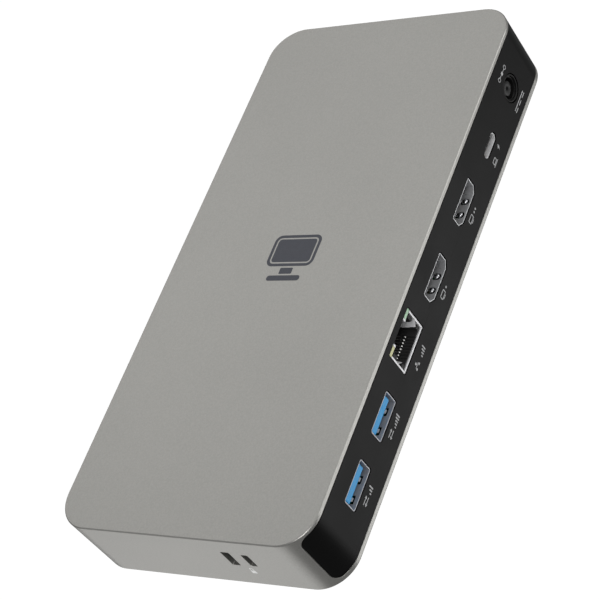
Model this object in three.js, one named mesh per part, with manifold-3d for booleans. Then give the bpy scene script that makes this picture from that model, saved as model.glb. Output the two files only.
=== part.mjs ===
// A laptop docking station: an aluminium housing with a black port panel let into each long side.
//
// Units are millimetres. +X runs along the length towards the security lock slots, +Y points to the
// rear ports and +Z is up. The origin is the middle of the footprint, on the surface under the feet.

import * as THREE from "three";
import { mergeVertices } from "three/addons/utils/BufferGeometryUtils.js";
import Module from "manifold-3d";

const wasm = await Module();
wasm.setup();

// ---- Driving dimensions ----

const GAP = 0.3; // usual clearance between neighbouring pieces
const FIT_GAP = 0.15; // clearance of a connector in its panel cut-out

const HOUSING = {
  length: 188,
  width: 89,
  height: 23.9,
  cornerRadius: 11,
  topChamfer: 0.5,
  bottomChamfer: 0.9,
  wall: 2.4,
  roof: 2,
  cornerSteps: 6,
};
const FOOT = { radius: 5.5, height: 1.4, proud: 1, x: 74, y: 27 };
const BOTTOM_Z = FOOT.proud;
const TOP_Z = BOTTOM_Z + HOUSING.height;

const PANEL = { halfLength: 91.6, bottom: 2, top: 22.6, thickness: 1.2, radius: 2.6, ledge: 1.6 };
const COVER = { thickness: 1.6 };
const BOARD = { top: 10.3, thickness: 1.6, halfLength: 79, front: -38.5, rear: 40.5 };

// Port centres: x along the length, z above the surface under the feet.
const REAR = {
  dcJack: { x: -71.6, z: 12.6 },
  usbC: { x: -49.7, z: 12.15 },
  hdmi2: { x: -26.9, z: 13.65 },
  hdmi1: { x: 0.1, z: 13.65 },
  rj45: { x: 23.3, z: 16.3 },
  usbA10: { x: 46.5, z: 13.75 },
  usbA5: { x: 68.2, z: 13.75 },
};
const FRONT = {
  button: { x: -74, z: 13.9 },
  light: { x: -64.5, z: 13.9 },
  card: { x: -33, z: 12.3 },
  audio: { x: 3, z: 13.4 },
  usbA: { x: 26, z: 13.75 },
  usbC: { x: 47, z: 12.15 },
};

const PORT_RECESS = 0.2; // connector fronts sit this far inside the panel's face
const SHEET = 0.35; // thickness of a connector's sheet-metal shell

// A connector's fronts, backs and depths are measured inwards from its front, bottoms and tops
// from the port's centre, and the network port's floors and roofs from the insert's own.
const USB_A = {
  width: 13.3,
  height: 5.8,
  radius: 0.7,
  depth: 13.5,
  base: { width: 11.8, bottom: -2.1, top: 2.1, depth: 2 },
  tongue: { width: 11.1, bottom: -0.15, top: 1.75, front: 0.5 },
};
const USB_C = {
  width: 9,
  height: 3.2,
  depth: 8,
  base: { width: 6.4, bottom: -0.85, top: 0.85, depth: 1.5 },
  tongue: { width: 6.6, bottom: -0.35, top: 0.35, front: 0.7 },
};
const HDMI = {
  width: 14.8,
  height: 5.4,
  bottomWidth: 10.8,
  sideHeight: 3.9,
  depth: 11.5,
  base: { width: 12.4, bottom: -0.3, top: 1.9, depth: 2 },
  tongue: { width: 11.2, bottom: 0.1, top: 1.1, front: 1 },
};
const RJ45 = {
  width: 15.9,
  height: 9.5,
  depth: 20,
  frame: 0.6,
  skirt: 0.7,
  insertFront: 0.8,
  plug: { width: 11.8, floor: 0.6, roof: 0.8, depth: 13 },
  latch: { width: 6.2, drop: 2.5, depth: 9 },
  light: { width: 4, height: 1.3, depth: 3.5, space: 4.3 },
  trough: { width: 9.2, floor: 0.3, height: 2.3, depth: 14, front: 1.5 },
  contacts: { count: 8, pitch: 1.02, size: 0.4, front: 4, back: 12.6 },
  comb: { width: 8.4, front: 12.4, back: 13.7 },
};
const DC_JACK = {
  width: 11.6,
  height: 10,
  depth: 14,
  bore: 3.8,
  nose: 4.3,
  backWall: 2,
  post: 2.35,
  postRecess: 1,
  pin: 0.6,
  pinDepth: 8,
};
const AUDIO = { width: 7, height: 5.6, depth: 12, nose: 3, bore: 1.8, backWall: 1 };
const CARD = { width: 27, height: 3.4, depth: 24, slotWidth: 24.6, slotHeight: 2.5, backWall: 1 };

const BUTTON = { radius: 4.2, flange: 5.2, flangeThickness: 1, stem: 1.5, depth: 5.1, travel: 0.5 };
const SWITCH = { width: 6.4, height: 6.6, depth: 3.5, plunger: 1.1, plungerLength: 2.5, proud: 1.1 };
const LIGHT_PIPE = { radius: 0.95, length: 9, legWidth: 1.6, legDepth: 1.8, aboveBoard: 1 };

const LOCK_SLOTS = [
  { y: 13.7, z: 15.1, width: 2.8, height: 6.9 },
  { y: 20, z: 15, width: 2.2, height: 5.8 },
];
const LOCK_PLATE = { y: 17, z: 15, width: 19, height: 12, thickness: 1.2, screwSpan: 15.6 };
const LOCK_SCREW = { radius: 0.6, hole: 0.9, pilot: 0.8, head: 1.5, headHeight: 1, bite: 1.5 };

const CASE_SCREW = {
  x: 83,
  y: 33.5,
  radius: 1.1,
  head: 2.3,
  headHeight: 0.85,
  sunk: 0.1,
  recess: 0.9,
  recessDepth: 0.35,
  top: 9,
  post: 3,
};
const BOARD_SCREW = {
  radius: 0.95,
  head: 1.9,
  headHeight: 1.3,
  recess: 0.8,
  recessDepth: 0.7,
  bottom: 4,
  post: 2.5,
};
const BOARD_SCREW_PLACES = [
  [-60.5, 34],
  [57.2, 34],
  [-56, -31],
  [60, -31],
];
const VENT = { width: 1.6, length: 16, pitch: 4, count: 8, x: 28, radius: 0.5 };

// What stands on the board: places and sizes seen from above, heights above the board.
const STAND_OFF = 0.15;
const CHIPS = [
  { name: "dock_controller_chip", x: -30, y: 6, size: 16, height: 1.2 },
  { name: "video_chip", x: 2, y: 6, size: 13, height: 1.2 },
  { name: "usb_hub_chip", x: 52, y: -2, size: 9, height: 0.9 },
  { name: "ethernet_chip", x: 28, y: 8, size: 7, height: 0.9 },
];
const THERMAL_PAD = { x: -30, y: 6, size: 12, height: 0.85 };
const SPREADER = { x0: -44, x1: 12, y0: -6, y1: 18, thickness: 1.2, legX: 3, legY: 4 };
const CAN = { x0: 42, x1: 62, y0: -12, y1: 8, height: 2.4, sheet: 0.3, standOff: 0.2 };
const INDUCTORS = { count: 3, x: -72, y: 12, pitch: 9.5, size: 7, radius: 1.2, height: 3.25 };
const CAPACITORS = {
  count: 2,
  x: -70,
  y: -4,
  pitch: 10,
  base: 6.6,
  baseHeight: 0.9,
  radius: 3.1,
  height: 5.8,
};

// ---- Shape tools ----

/** A closed geometry as a manifold solid. */
function solidOf(geometry) {
  const bare = geometry.index ? geometry.toNonIndexed() : geometry.clone();
  bare.deleteAttribute("normal");
  bare.deleteAttribute("uv");
  const merged = mergeVertices(bare, 1e-4);
  const corners = merged.index.array;
  const triangles = [];
  for (let i = 0; i < corners.length; i += 3) {
    const [a, b, c] = [corners[i], corners[i + 1], corners[i + 2]];
    if (a !== b && b !== c && c !== a) triangles.push(a, b, c);
  }
  return new wasm.Manifold(
    new wasm.Mesh({
      numProp: 3,
      vertProperties: merged.attributes.position.array,
      triVerts: new Uint32Array(triangles),
    }),
  );
}

/** A manifold solid as a geometry with flat-shaded faces. */
function geometryOf(solid) {
  const mesh = solid.getMesh();
  const geometry = new THREE.BufferGeometry();
  geometry.setAttribute("position", new THREE.BufferAttribute(mesh.vertProperties, 3));
  geometry.setIndex(new THREE.BufferAttribute(mesh.triVerts, 1));
  const flat = geometry.toNonIndexed();
  flat.computeVertexNormals();
  return flat;
}

const join = (first, ...others) => others.reduce((sum, other) => sum.add(other), first);
const cut = (first, ...others) => others.reduce((rest, other) => rest.subtract(other), first);

function roundedRectangle(width, height, radius) {
  const x = width / 2 - radius;
  const y = height / 2 - radius;
  const shape = new THREE.Shape();
  shape.absarc(x, y, radius, 0, Math.PI / 2);
  shape.absarc(-x, y, radius, Math.PI / 2, Math.PI);
  shape.absarc(-x, -y, radius, Math.PI, 1.5 * Math.PI);
  shape.absarc(x, -y, radius, 1.5 * Math.PI, 2 * Math.PI);
  shape.closePath();
  return shape;
}

function circle(radius) {
  const shape = new THREE.Shape();
  shape.absarc(0, 0, radius, 0, 2 * Math.PI);
  return shape;
}

/** A shape swept along Z between two heights. */
function prism(shape, from, to, steps = 3) {
  const depth = to - from;
  const options = { depth, bevelEnabled: false, curveSegments: steps };
  return solidOf(new THREE.ExtrudeGeometry(shape, options).translate(0, 0, from));
}

/** A box given by its three spans. */
function block(x0, x1, y0, y1, z0, z1) {
  const geometry = new THREE.BoxGeometry(x1 - x0, y1 - y0, z1 - z0);
  return solidOf(geometry.translate((x0 + x1) / 2, (y0 + y1) / 2, (z0 + z1) / 2));
}

/** A round bar along Z between two heights. */
function bar(radius, from, to, x = 0, y = 0, steps = 16) {
  const geometry = new THREE.CylinderGeometry(radius, radius, to - from, steps);
  return solidOf(geometry.rotateX(Math.PI / 2).translate(x, y, (from + to) / 2));
}

// ---- Materials ----

const finish = (color, roughness, metalness) => ({ color, roughness, metalness });
const FINISHES = {
  housing: finish(0x9a9894, 0.5, 0.6),
  panel: finish(0x242424, 0.35, 0),
  cover: finish(0x3b3c3d, 0.6, 0),
  shell: finish(0xb9bbbd, 0.3, 1),
  black: finish(0x151515, 0.5, 0),
  blue: finish(0x3f8fc9, 0.45, 0),
  contact: finish(0xd0a850, 0.3, 1),
  green: finish(0x9fd4a0, 0.3, 0),
  yellow: finish(0xe6e48c, 0.3, 0),
  clear: finish(0xe8eef0, 0.2, 0),
  board: finish(0x184a2c, 0.6, 0),
  chip: finish(0x1c1c1e, 0.5, 0),
  steel: finish(0x8f9294, 0.4, 1),
  aluminium: finish(0xb4b6b8, 0.4, 1),
  rubber: finish(0x222222, 0.9, 0),
  pad: finish(0x8ba3b5, 0.8, 0),
};

const dock = new THREE.Group();
dock.name = "docking_station";

function add(name, solid, slot, parent = dock) {
  const mesh = new THREE.Mesh(geometryOf(solid), new THREE.MeshStandardMaterial(FINISHES[slot]));
  mesh.name = name;
  parent.add(mesh);
  return mesh;
}

// ---- Housing and panels ----

/** The housing's plan outline, moved inwards by a distance. */
function planOutline(inset) {
  const { length, width, cornerRadius } = HOUSING;
  return roundedRectangle(length - 2 * inset, width - 2 * inset, cornerRadius - inset);
}

/** The layer between two insets of the plan outline, as tall as the housing. */
function wallLayer(outer, inner) {
  const { cornerSteps } = HOUSING;
  return cut(
    prism(planOutline(outer), BOTTOM_Z, TOP_Z, cornerSteps),
    prism(planOutline(inner), BOTTOM_Z - 1, TOP_Z + 1, cornerSteps),
  );
}

/** The panel's outline, grown by a distance and swept along Y through one long side. */
function panelSweep(side, grow) {
  const height = PANEL.top - PANEL.bottom + 2 * grow;
  const outline = roundedRectangle(2 * (PANEL.halfLength + grow), height, PANEL.radius + grow);
  const reach = HOUSING.width / 2 + 5;
  const middle = BOTTOM_Z + (PANEL.top + PANEL.bottom) / 2;
  const start = HOUSING.width / 2 - HOUSING.cornerRadius;
  const sweep = prism(outline, start, reach, 3).rotate([90, 0, side === "rear" ? 180 : 0]);
  return sweep.translate([0, 0, middle]);
}

/** A slab of the housing's outline with chamfered edges, between two heights. */
function chamferedSlab(from, to, chamfer) {
  const geometry = new THREE.ExtrudeGeometry(planOutline(0), {
    depth: to - from - 2 * chamfer,
    bevelThickness: chamfer,
    bevelSize: chamfer,
    bevelOffset: -chamfer,
    bevelSegments: 1,
    curveSegments: HOUSING.cornerSteps,
  });
  return solidOf(geometry.translate(0, 0, from + chamfer));
}

function topShell() {
  const { topChamfer, bottomChamfer, wall, roof, cornerSteps, length } = HOUSING;
  const lower = chamferedSlab(BOTTOM_Z, TOP_Z - 3, bottomChamfer);
  const upper = chamferedSlab(BOTTOM_Z + 3, TOP_Z, topChamfer);
  const cavity = prism(planOutline(wall), BOTTOM_Z - 1, TOP_Z - roof, cornerSteps);
  let shell = cut(join(lower, upper), cavity);
  for (const side of ["front", "rear"]) {
    const pocket = wallLayer(-1, PANEL.thickness + GAP).intersect(panelSweep(side, FIT_GAP));
    const window = wallLayer(-1, wall + 1).intersect(panelSweep(side, -PANEL.ledge));
    shell = cut(shell, pocket, window);
  }
  for (const [x, y] of corners(CASE_SCREW.x, CASE_SCREW.y)) {
    const post = bar(CASE_SCREW.post, BOTTOM_Z + COVER.thickness + GAP, TOP_Z - roof + 0.1, x, y);
    shell = cut(join(shell, post), bar(CASE_SCREW.radius + GAP, 0, CASE_SCREW.top + 1, x, y, 12));
  }
  for (const slot of LOCK_SLOTS) {
    const hole = lockSlot(slot, length / 2 - wall - 1, length / 2 + 1);
    shell = cut(shell, hole);
  }
  const inside = length / 2 - wall;
  for (const y of lockScrewPlaces()) {
    const pilotEnd = inside + LOCK_SCREW.bite + 0.4;
    shell = cut(shell, barAlongX(LOCK_SCREW.pilot, inside - 1, pilotEnd, y, LOCK_PLATE.z));
  }
  return shell;
}

const corners = (x, y) => [
  [x, y],
  [-x, y],
  [-x, -y],
  [x, -y],
];

/** A long-side panel, with its port cut-outs made in the port frame of that side. */
function portPanel(side, cutOuts) {
  const blank = wallLayer(0, PANEL.thickness).intersect(panelSweep(side, 0));
  const openings = cutOuts.map(({ x, z, shape, steps }) => {
    const hole = prism(shape, -4, 2, steps ?? 2);
    return toSide(hole, side, x, z);
  });
  return cut(blank, ...openings);
}

/** Turns a solid from the port frame (X right, Y up, Z out of the face) to its place in a side. */
function toSide(solid, side, x, z) {
  const rear = side === "rear";
  const y = (rear ? 1 : -1) * (HOUSING.width / 2);
  return solid.rotate([90, 0, rear ? 180 : 0]).translate([x, y, z]);
}

/** A group whose own frame is the port frame, with its origin at the connector's front. */
function portGroup(side, { x, z }) {
  const group = new THREE.Group();
  const rear = side === "rear";
  const face = HOUSING.width / 2 - PORT_RECESS;
  group.position.set(x, rear ? face : -face, z);
  group.rotation.set(Math.PI / 2, rear ? Math.PI : 0, 0);
  dock.add(group);
  return group;
}

// ---- Connectors, built in the port frame ----

/** A sheet-metal shell that is open at the front and closed at the back. */
function connectorShell(outer, inner, depth, steps) {
  return cut(prism(outer, -depth, 0, steps), prism(inner, -depth + SHEET, 1, steps));
}

/** A connector's moulded insert: a base at the back of its shell and a tongue towards its front. */
function insertOf({ depth, base, tongue }) {
  const back = -depth + SHEET + GAP;
  const [baseHalf, tongueHalf] = [base.width / 2, tongue.width / 2];
  return join(
    block(-baseHalf, baseHalf, base.bottom, base.top, back, back + base.depth),
    block(-tongueHalf, tongueHalf, tongue.bottom, tongue.top, back + 1, -tongue.front),
  );
}

const usbAOutline = (grow) =>
  roundedRectangle(USB_A.width + 2 * grow, USB_A.height + 2 * grow, USB_A.radius + grow);

const usbCOutline = (grow) =>
  roundedRectangle(USB_C.width + 2 * grow, USB_C.height + 2 * grow, USB_C.height / 2 + grow - 0.01);

/** The wide-topped outline of a video connector, grown by a distance. */
function hdmiOutline(grow) {
  const { width, height, bottomWidth, sideHeight } = HDMI;
  const half = width / 2 + grow;
  const top = height / 2 + grow;
  const shoulder = height / 2 - sideHeight - 0.4 * grow;
  const bottomHalf = bottomWidth / 2 + 0.4 * grow;
  const shape = new THREE.Shape();
  shape.moveTo(half, top);
  shape.lineTo(-half, top);
  shape.lineTo(-half, shoulder);
  shape.lineTo(-bottomHalf, -top);
  shape.lineTo(bottomHalf, -top);
  shape.lineTo(half, shoulder);
  shape.closePath();
  return shape;
}

const CONNECTORS = {
  usbA: { size: USB_A, outline: usbAOutline, steps: 2, slot: "blue" },
  usbC: { size: USB_C, outline: usbCOutline, steps: 3, slot: "black" },
  hdmi: { size: HDMI, outline: hdmiOutline, steps: 1, slot: "black" },
};

/** A connector with a sheet-metal shell and a tongue, of one of the kinds above. */
function connector(kind, side, place, name) {
  const { size, outline, steps, slot } = CONNECTORS[kind];
  const group = portGroup(side, place);
  const shell = connectorShell(outline(0), outline(-SHEET), size.depth, steps);
  add(`${name}_shell`, shell, "shell", group);
  add(`${name}_tongue`, insertOf(size), slot, group);
}

/** The opening in the panel for a connector of one of those kinds. */
function connectorCutOut(kind, place) {
  const { outline, steps } = CONNECTORS[kind];
  return { ...place, shape: outline(FIT_GAP), steps };
}

/** The span from -half to half of a width, as a block takes it. */
const across = (width) => [-width / 2, width / 2];

/** The network port: a metal shield, a black insert with the plug cavity, contacts and lights. */
function rj45(side, place) {
  const group = portGroup(side, place);
  const { width, height, depth, frame, skirt, insertFront, plug, latch, light, trough } = RJ45;
  const [halfWidth, halfHeight] = [width / 2, height / 2];
  const behindPanel = -PANEL.thickness + PORT_RECESS - GAP;

  const body = join(
    block(...across(width), -halfHeight, halfHeight, -depth, 0),
    block(...across(width), -halfHeight - skirt, 0, -depth, behindPanel),
  );
  const inside = [...across(width - 2 * frame), ...across(height - 2 * frame)];
  const cavity = block(...inside, -depth + frame, 1);
  const insertTop = halfHeight - frame - GAP;
  const insertBottom = -insertTop;
  const notchFloor = insertTop - GAP - frame;
  const topNotch = block(...across(width + 2), notchFloor, halfHeight + 1, -light.depth - 0.5, 1);
  add("rj45_shield", cut(body, cavity, topNotch), "shell", group);

  const insertWidth = width - 2 * (frame + GAP);
  const insertBack = -depth + frame + GAP;
  const lightFloor = insertTop - light.height;
  const troughFloor = insertBottom + trough.floor;
  const insert = block(...across(insertWidth), insertBottom, insertTop, insertBack, -insertFront);
  const spaces = [
    block(...across(plug.width), insertBottom + plug.floor, insertTop - plug.roof, -plug.depth, 1),
    block(...across(latch.width), insertTop - latch.drop, insertTop + 1, -latch.depth, 1),
    block(...across(width), lightFloor, insertTop + 1, -light.space, 1),
    block(...across(trough.width), troughFloor, troughFloor + trough.height, -trough.depth, -trough.front),
  ];
  add("rj45_insert", cut(insert, ...spaces), "black", group);
  add("rj45_contacts", rj45Contacts(insertBottom + plug.floor), "contact", group);

  for (const [name, slot, way] of [
    ["rj45_light_green", "green", 1],
    ["rj45_light_yellow", "yellow", -1],
  ]) {
    const span = [way * halfWidth, way * (halfWidth - light.width)].sort((a, b) => a - b);
    add(name, block(...span, halfHeight - light.height, halfHeight, -light.depth, 0), slot, group);
  }
}

/** The contact wires of the network port, joined by the comb that holds them at the back. */
function rj45Contacts(floor) {
  const { contacts, comb } = RJ45;
  const top = floor + contacts.size;
  let wires = block(...across(comb.width), floor, top, -comb.back, -comb.front);
  for (let i = 0; i < contacts.count; i++) {
    const x = (i - (contacts.count - 1) / 2) * contacts.pitch;
    const [left, right] = across(contacts.size);
    wires = join(wires, block(x + left, x + right, floor, top, -contacts.back, -contacts.front));
  }
  return wires;
}

/** A moulded jack: a block behind the panel with a round nose through it, bored from the front. */
function jackBody({ width, height, depth, nose, bore, backWall }, steps) {
  const behindPanel = -PANEL.thickness + PORT_RECESS - GAP;
  return cut(
    join(
      block(...across(width), ...across(height), -depth, behindPanel),
      bar(nose, behindPanel - 0.5, 0, 0, 0, steps),
    ),
    bar(bore, -depth + backWall, 1, 0, 0, steps),
  );
}

function dcJack(side, place) {
  const group = portGroup(side, place);
  const { depth, backWall, post, postRecess, pin, pinDepth } = DC_JACK;
  add("dc_jack_body", jackBody(DC_JACK, 24), "black", group);
  const pillar = bar(post, -depth + backWall + GAP, -postRecess, 0, 0, 24);
  const pinHole = bar(pin, -pinDepth, 1, 0, 0, 10);
  add("dc_jack_center_post", cut(pillar, pinHole), "steel", group);
}

function audioJack(side, place) {
  add("front_audio_jack", jackBody(AUDIO, 16), "black", portGroup(side, place));
}

function cardSocket(side, place) {
  const { width, height, depth, slotWidth, slotHeight, backWall } = CARD;
  const front = -PANEL.thickness + PORT_RECESS - GAP;
  const body = block(...across(width), ...across(height), -depth, front);
  const slot = block(...across(slotWidth), ...across(slotHeight), -depth + backWall, 1);
  add("front_card_socket", cut(body, slot), "steel", portGroup(side, place));
}

// ---- Power button, its switch and the status light ----

function powerButton(side, place) {
  const group = portGroup(side, place);
  const face = PORT_RECESS; // the panel's face in this group's frame
  const flangeFront = face - PANEL.thickness - GAP;
  const flangeBack = flangeFront - BUTTON.flangeThickness;
  const inFlange = (flangeFront + flangeBack) / 2;
  const stemEnd = face - BUTTON.depth;
  const cap = bar(BUTTON.radius, inFlange, face, 0, 0, 24);
  const flange = bar(BUTTON.flange, flangeBack, flangeFront, 0, 0, 24);
  const stem = bar(BUTTON.stem, stemEnd, inFlange);
  add("power_button", join(cap, flange, stem), "panel", group);

  const plungerFront = stemEnd - GAP;
  const plungerBack = plungerFront - SWITCH.plungerLength;
  add("tact_switch_plunger", bar(SWITCH.plunger, plungerBack, plungerFront), "black", group);

  const bodyFront = plungerFront - SWITCH.proud;
  const bodyBack = bodyFront - SWITCH.depth;
  const well = bar(SWITCH.plunger + GAP, plungerBack - BUTTON.travel - GAP, 1);
  const body = block(...across(SWITCH.width), ...across(SWITCH.height), bodyBack, bodyFront);
  add("tact_switch_body", cut(body, well), "steel", group);
}

/** The light pipe: a rod from the panel's face, with a leg down to just above the board. */
function statusLight(side, place) {
  const { radius, length, legWidth, legDepth, aboveBoard } = LIGHT_PIPE;
  const bottom = BOARD.top + aboveBoard - place.z;
  const rod = bar(radius, -length, PORT_RECESS, 0, 0, 14);
  const leg = block(...across(legWidth), bottom, 0, -length, -length + legDepth);
  add("status_light_pipe", join(rod, leg), "clear", portGroup(side, place));
}

// ---- Bottom cover, board and what stands on it ----

function bottomCover() {
  const top = BOTTOM_Z + COVER.thickness;
  let cover = prism(planOutline(HOUSING.wall + GAP), BOTTOM_Z, top, HOUSING.cornerSteps);
  const postTop = BOARD.top - BOARD.thickness - GAP;
  for (const [x, y] of BOARD_SCREW_PLACES) {
    cover = join(cover, bar(BOARD_SCREW.post, top - 0.5, postTop, x, y));
    cover = cut(cover, bar(BOARD_SCREW.radius + FIT_GAP, BOARD_SCREW.bottom - GAP, TOP_Z, x, y, 12));
  }
  for (const [x, y] of corners(CASE_SCREW.x, CASE_SCREW.y)) {
    const seatTop = BOTTOM_Z + CASE_SCREW.sunk + CASE_SCREW.headHeight + FIT_GAP;
    const seat = bar(CASE_SCREW.head + GAP, 0, seatTop, x, y);
    cover = cut(cover, seat, bar(CASE_SCREW.radius + GAP, 0, top + 1, x, y, 12));
  }
  for (const [x, y] of corners(FOOT.x, FOOT.y)) {
    const play = 0.2;
    cover = cut(cover, bar(FOOT.radius + play, 0, FOOT.height + play, x, y, 20));
  }
  const slot = prism(roundedRectangle(VENT.width, VENT.length, VENT.radius), 0, top + 1, 1);
  for (const middle of [-VENT.x, VENT.x]) {
    for (let i = 0; i < VENT.count; i++) {
      const x = middle + (i - (VENT.count - 1) / 2) * VENT.pitch;
      cover = cut(cover, slot.translate([x, 0, 0]));
    }
  }
  return cover;
}

function mainBoard() {
  const { top, thickness, halfLength, front, rear } = BOARD;
  let board = block(-halfLength, halfLength, front, rear, top - thickness, top);
  const jackLeft = REAR.dcJack.x + DC_JACK.width / 2 + GAP;
  const jackFront = HOUSING.width / 2 - PORT_RECESS - DC_JACK.depth - GAP;
  board = cut(board, block(-halfLength - 1, jackLeft, jackFront, rear + 1, 0, TOP_Z));
  for (const [x, y] of BOARD_SCREW_PLACES) {
    board = cut(board, bar(BOARD_SCREW.radius + GAP, 0, TOP_Z, x, y, 12));
  }
  return board;
}

function caseScrew() {
  const { radius, head, headHeight, sunk, recess, recessDepth, top } = CASE_SCREW;
  const bottom = BOTTOM_Z + sunk;
  const pan = bar(head, bottom, bottom + headHeight);
  const shank = bar(radius, bottom + headHeight / 2, top, 0, 0, 12);
  return cut(join(pan, shank), bar(recess, bottom - 1, bottom + recessDepth, 0, 0, 6));
}

function boardScrew() {
  const { radius, head, headHeight, recess, recessDepth, bottom } = BOARD_SCREW;
  const seat = BOARD.top + GAP;
  const top = seat + headHeight;
  const pan = bar(head, seat, top);
  const shank = bar(radius, bottom, seat + headHeight / 2, 0, 0, 12);
  return cut(join(pan, shank), bar(recess, top - recessDepth, top + 1, 0, 0, 6));
}

/** A square block standing just above the board, from one height to another. */
function standing(x, y, size, bottom, height) {
  const half = size / 2;
  return block(x - half, x + half, y - half, y + half, bottom, bottom + height);
}

/** The chips, and the pad and plate that carry their heat away. */
function chipsAndSpreader() {
  const bottom = BOARD.top + STAND_OFF;
  for (const { name, x, y, size, height } of CHIPS) {
    add(name, standing(x, y, size, bottom, height), "chip");
  }
  const padBottom = bottom + CHIPS[0].height + STAND_OFF;
  const { x, y, size, height } = THERMAL_PAD;
  add("thermal_pad", standing(x, y, size, padBottom, height), "pad");

  const { x0, x1, y0, y1, thickness, legX, legY } = SPREADER;
  const plateBottom = padBottom + height + STAND_OFF;
  const legs = [
    [x0, y0],
    [x0, y1 - legY],
    [x1 - legX, y0],
    [x1 - legX, y1 - legY],
  ].map(([left, near]) => block(left, left + legX, near, near + legY, bottom, plateBottom + 1));
  const plate = block(x0, x1, y0, y1, plateBottom, plateBottom + thickness);
  add("heat_spreader", join(plate, ...legs), "aluminium");
}

/** The sheet-metal can over the hub chip, open at the bottom. */
function shieldCan() {
  const { x0, x1, y0, y1, height, sheet, standOff } = CAN;
  const bottom = BOARD.top + standOff;
  const top = bottom + height;
  const inside = block(x0 + sheet, x1 - sheet, y0 + sheet, y1 - sheet, bottom - 1, top - sheet);
  add("shield_can", cut(block(x0, x1, y0, y1, bottom, top), inside), "shell");
}

/** The coils and the can capacitors of the power input. */
function powerStage() {
  const bottom = BOARD.top + STAND_OFF;
  const { size, radius, height } = INDUCTORS;
  const coil = prism(roundedRectangle(size, size, radius), bottom, bottom + height, 2);
  for (let i = 0; i < INDUCTORS.count; i++) {
    const x = INDUCTORS.x + INDUCTORS.pitch * i;
    add(`power_inductor_${i + 1}`, coil.translate([x, INDUCTORS.y, 0]), "chip");
  }
  const { base, baseHeight } = CAPACITORS;
  const foot = prism(roundedRectangle(base, base, 1), bottom, bottom + baseHeight, 2);
  const body = bar(CAPACITORS.radius, bottom + baseHeight / 2, bottom + CAPACITORS.height, 0, 0, 20);
  const can = join(foot, body);
  for (let i = 0; i < CAPACITORS.count; i++) {
    const x = CAPACITORS.x + CAPACITORS.pitch * i;
    add(`bulk_capacitor_${i + 1}`, can.translate([x, CAPACITORS.y, 0]), "aluminium");
  }
}

// ---- Security lock slots ----

/** A bar along X between two stations. */
function barAlongX(radius, from, to, y, z) {
  return bar(radius, from, to, 0, 0, 10).rotate([0, 90, 0]).translate([0, y, z]);
}

/** The upright slot of a security lock, running along X between two stations. */
function lockSlot({ y, z, width, height }, from, to) {
  const outline = roundedRectangle(width, height, 0.5);
  return prism(outline, from, to, 2).rotate([90, 0, 90]).translate([0, y, z]);
}

function lockScrewPlaces() {
  const half = LOCK_PLATE.screwSpan / 2;
  return [LOCK_PLATE.y - half, LOCK_PLATE.y + half];
}

function lockPlate() {
  const { y, z, width, height, thickness } = LOCK_PLATE;
  const outer = HOUSING.length / 2 - HOUSING.wall - GAP;
  const inner = outer - thickness;
  const blank = block(inner, outer, ...across(width), ...across(height)).translate([0, y, z]);
  const slots = LOCK_SLOTS.map((slot) => lockSlot(slot, inner - 1, outer + 1));
  const holes = lockScrewPlaces().map((place) =>
    barAlongX(LOCK_SCREW.hole, inner - 1, outer + 1, place, z),
  );
  add("lock_slot_plate", cut(blank, ...slots, ...holes), "steel");

  const headFace = inner - GAP;
  lockScrewPlaces().forEach((place, i) => {
    const head = barAlongX(LOCK_SCREW.head, headFace - LOCK_SCREW.headHeight, headFace, place, z);
    const shankEnd = outer + GAP + LOCK_SCREW.bite;
    const shank = barAlongX(LOCK_SCREW.radius, headFace - LOCK_SCREW.headHeight / 2, shankEnd, place, z);
    add(`lock_plate_screw_${i + 1}`, join(head, shank), "steel");
  });
}

// ---- Assembly ----

const rj45CutOut = roundedRectangle(RJ45.width + 2 * FIT_GAP, RJ45.height + 2 * FIT_GAP, 0.3);

add("top_shell", topShell(), "housing");
add(
  "rear_port_panel",
  portPanel("rear", [
    { ...REAR.dcJack, shape: circle(DC_JACK.nose + FIT_GAP), steps: 24 },
    connectorCutOut("usbC", REAR.usbC),
    connectorCutOut("hdmi", REAR.hdmi2),
    connectorCutOut("hdmi", REAR.hdmi1),
    { ...REAR.rj45, shape: rj45CutOut },
    connectorCutOut("usbA", REAR.usbA10),
    connectorCutOut("usbA", REAR.usbA5),
  ]),
  "panel",
);
add(
  "front_port_panel",
  portPanel("front", [
    { ...FRONT.button, shape: circle(BUTTON.radius + GAP), steps: 24 },
    { ...FRONT.light, shape: circle(LIGHT_PIPE.radius + FIT_GAP), steps: 14 },
    { ...FRONT.card, shape: roundedRectangle(CARD.slotWidth, CARD.slotHeight, 0.5) },
    { ...FRONT.audio, shape: circle(AUDIO.nose + FIT_GAP), steps: 20 },
    connectorCutOut("usbA", FRONT.usbA),
    connectorCutOut("usbC", FRONT.usbC),
  ]),
  "panel",
);
add("bottom_cover", bottomCover(), "cover");
add("main_board", mainBoard(), "board");

dcJack("rear", REAR.dcJack);
connector("usbC", "rear", REAR.usbC, "usb_c_host");
connector("hdmi", "rear", REAR.hdmi2, "hdmi_2");
connector("hdmi", "rear", REAR.hdmi1, "hdmi_1");
rj45("rear", REAR.rj45);
connector("usbA", "rear", REAR.usbA10, "usb_a_10g");
connector("usbA", "rear", REAR.usbA5, "usb_a_5g");

powerButton("front", FRONT.button);
statusLight("front", FRONT.light);
cardSocket("front", FRONT.card);
audioJack("front", FRONT.audio);
connector("usbA", "front", FRONT.usbA, "front_usb_a");
connector("usbC", "front", FRONT.usbC, "front_usb_c");

chipsAndSpreader();
shieldCan();
powerStage();
lockPlate();

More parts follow.
